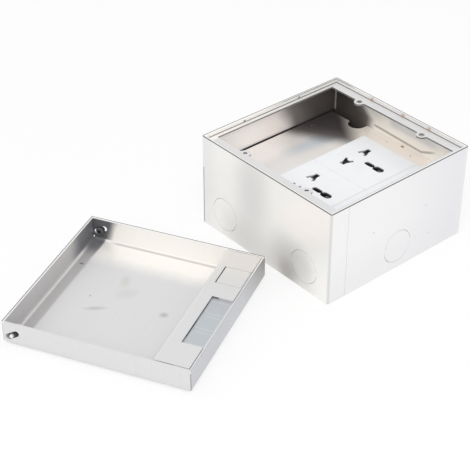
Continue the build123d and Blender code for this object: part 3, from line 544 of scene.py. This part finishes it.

# the rim carries a painted highlight on the far walls, with a thin dark line along its outer side
rim = z.rise(lid_height - 0.1, lid_height - 0.02)
hinge_side = x.rise(0.3 - lid_inner_x, 0.05 - lid_inner_x)
far_side = y.rise(lid_inner_y - 0.4, lid_inner_y - 0.1)
far_walls = hinge_side.at_least(far_side)
rim_highlight = z.rise(lid_height - 0.8, lid_height - 0.6) * far_walls
tray.tint(rim_highlight, paint(254, 253, 251))
hinge_line = x.rise(0.85 - lid_half_x, 0.6 - lid_half_x)
far_line = y.rise(lid_half_y - 0.8, lid_half_y - 0.6)
outer_line = hinge_line.at_least(far_line)
tray.tint(rim * outer_line, paint(92, 90, 89))
free_end_line = x.rise(lid_half_x - 0.5, lid_half_x - 0.3)
tray.tint(rim * free_end_line * 0.5, paint(150, 149, 149))

# the open seams at the corners show as thin dark lines
seam = abs(x).rise(lid_half_x - 0.6, lid_half_x - 0.3) * abs(y).rise(lid_half_y - 0.6, lid_half_y - 0.3)
tray.tint(seam * z.rise(19.5, 17.5) * 0.9, paint(104, 101, 100))
streak = tray.brush((0.7, 34, 34), spread=0.10)
tray.tint((streak - 0.5) * 0.2, paint(130, 129, 128))
tray.cover("lid_tray")

# The cable deck and its lift tab: folded sheet welded in at the lid's free end, level with its walls.
# The brushing runs along the bend, and the bend carries a faint painted highlight, only a little lighter than
# the sheet beside it.
top = Finish("brushed_cable_deck", paint(219, 219, 219), steel_metallic, steel_roughness, lid_origin, lid_yaw)
x, y, z = top.x, top.y, top.z
# a warm painted reflection towards the far side, and the step wall a little lighter
warm_side = y.rise(20, 68)
top.tint(warm_side, paint(230, 225, 221))
step_wall = x.rise(45.2, 44.5) * z.rise(20, 6)
top.tint(step_wall, paint(228, 228, 229))
bend = abs(x - 45.8).rise(2.4, 0.4) * z.rise(19.5, 20.8)
top.tint(bend * 0.3, paint(236, 234, 233))
# the sides of the finger gap, below the top face, painted dark as shade
gap_side_shade = x.rise(50, 50.5) * x.rise(62, 61) * z.rise(lid_height - 0.15, lid_height - 0.4)
top.tint(gap_side_shade, paint(112, 111, 111))
streak = top.brush((0.7, 34, 34), spread=0.10)
top.tint((streak - 0.5) * 0.2, paint(140, 139, 138))
top.cover("cable_deck", "lift_tab")

# The cable flap: the same sheet under the slot, on a sprung pin. It lies lower and mirrors a cooler grey.
# Its face carries a few fine scratches, because cables are drawn over it, and three faint square outlines.
flap_roughness = steel_roughness + 0.06
flap = Finish("brushed_cable_flap", paint(190, 195, 199), steel_metallic, flap_roughness, lid_origin, lid_yaw)
x, y = flap.x, flap.y
far_half = y.rise(-10, 12)
flap.tint(far_half, paint(188, 189, 194))
scratch = flap.noise((0.8, 16, 16), detail=3.0).rise(0.62, 0.72)
flap.tint(scratch * 0.4, paint(180, 184, 190))
square_x = 65.5
square_half = 7.2
for square_y in (-36.5, -18.0, 0.5):
    from_middle = abs(x - square_x).at_least(abs(y - square_y))
    outline = abs(from_middle - square_half).rise(0.7, 0.1)
    flap.tint(outline * 0.45, paint(214, 219, 224))
flap.brush((0.7, 30, 30), spread=0.12)
flap.cover("cable_flap")

# The hinge pins: bright turned steel at their free ends, with ring heads inside the tray painted dark with
# the shade of the back corner.
# They hang in the nylon sliders and are pulled in by their rings to free the lid.
pin_roughness = 0.32
pin = Finish("turned_hinge_pin", paint(236, 236, 236), steel_metallic, pin_roughness, lid_origin, lid_yaw)
turned = pin.noise((0.5, 6, 0.5), detail=3.0)
pin.tint(turned.rise(0.45, 0.7) * 0.4, paint(200, 200, 200))
shaded_ring_head = abs(pin.y).rise(72.0, 71.4)
pin.tint(shaded_ring_head, paint(96, 95, 96))
# the hole of the ring head that can be seen is painted dark as shade
ring_hole_shade = pin.spot((-67.4, 70, 10.4), (1.7, 4, 1.7), soft=0.3)
pin.tint(abs(pin.y).rise(71.0, 70.7) * ring_hole_shade, paint(40, 40, 42))
pin.vary_gloss(turned, spread=0.2)
pin.cover("hinge_pins")

# The hinge sliders: black nylon blocks that fill the lid's slanted slots and turn on the pins.
# Each is moulded in one piece with a flange that keeps it in its slot, and is slightly hazy.
nylon = Finish("black_nylon", paint(46, 45, 47), metallic=0.0, roughness=0.42)
haze = nylon.noise((1.5, 1.5, 1.5), detail=3.0)
nylon.tint(haze.rise(0.4, 0.8) * 0.5, paint(64, 63, 66))
nylon.cover("hinge_sliders")

# The stage: a plain pale floor just under the box and the lid, which keeps a faint shadow of them.
# The camera, the metal and the clear coat see it as white.


def seen_directly(tree):
    """1 for what the camera, a gloss or a clear piece sees, and 0 for the light that falls on the object."""
    seen = tree.node("ShaderNodeLightPath", {}, {}, "Is Camera Ray")
    for ray in ("Is Glossy Ray", "Is Transmission Ray"):
        seen = seen.at_least(tree.node("ShaderNodeLightPath", {}, {}, ray))
    return seen


floor_size = 8.0
floor_drop = 0.0004
floor_colour = (0.98, 0.98, 0.98, 1)
floor_shadow_share = 0.35
bpy.ops.object.select_all(action="DESELECT")
bpy.ops.mesh.primitive_plane_add(size=floor_size, location=(0, 0, -floor_drop))
floor = bpy.context.object
floor.name = "stage_floor"
floor_material = bpy.data.materials.new("pale_floor")
floor_tree = Tree(floor_material)
matt = floor_tree.node("ShaderNodeBsdfDiffuse", {}, {"Color": floor_colour})
glow = floor_tree.node("ShaderNodeEmission", {}, {"Strength": 1.0})
glow_share = seen_directly(floor_tree) * (1 - floor_shadow_share)
mixed = floor_tree.node("ShaderNodeMixShader", {}, {0: glow_share, 1: matt, 2: glow})
floor_tree.node("ShaderNodeOutputMaterial", {}, {"Surface": mixed})
floor.data.materials.append(floor_material)

# The room and its lamp: even light from all sides, and one large soft lamp above the camera's side.
# The room is white where it is seen, and a little weaker as light on the object.
room_level = 0.8
world = bpy.data.worlds.new("soft_room")
bpy.context.scene.world = world
room = Tree(world)
level = room.node("ShaderNodeMapRange", {},
                  {"Value": seen_directly(room), "To Min": room_level, "To Max": 1.0})
sky = room.node("ShaderNodeBackground", {}, {"Color": (1, 1, 1, 1), "Strength": level})
room.node("ShaderNodeOutputWorld", {}, {"Surface": sky})

lamp_place = Vector((1.0, -1.2, 1.8))
lamp_target = Vector((0, -0.08, 0.04))
lamp = bpy.data.lights.new("soft_box", "AREA")
lamp.shape = "SQUARE"
lamp.size = 1.6
lamp.energy = 17.0
lamp_object = bpy.data.objects.new("soft_box", lamp)
bpy.context.scene.collection.objects.link(lamp_object)
lamp_object.location = lamp_place
lamp_object.rotation_euler = (lamp_target - lamp_place).to_track_quat("-Z", "Y").to_euler()

# The camera: a long lens at the photograph's angle, about 35 degrees down onto the corner by the seam.
# Its place, aim and focal length were fitted to the corners of the box and of the lid.
camera_place = Vector((0.64667, -0.65723, 0.63739))
camera_yaw = -0.863459
camera_pitch = 0.613061
camera = bpy.data.cameras.new("camera")
camera.sensor_width = 36.0
camera.lens = 102.83
camera.clip_start = 0.01
camera_object = bpy.data.objects.new("camera", camera)
bpy.context.scene.collection.objects.link(camera_object)
look = Vector((math.sin(camera_yaw) * math.cos(camera_pitch),
               math.cos(camera_yaw) * math.cos(camera_pitch),
               -math.sin(camera_pitch)))
right = Vector((math.cos(camera_yaw), -math.sin(camera_yaw), 0))
up = right.cross(look)
facing = Matrix((right, up, -look)).transposed()
camera_object.matrix_world = Matrix.Translation(camera_place) @ facing.to_4x4()
bpy.context.scene.camera = camera_object

bpy.context.scene.view_settings.view_transform = "Standard"
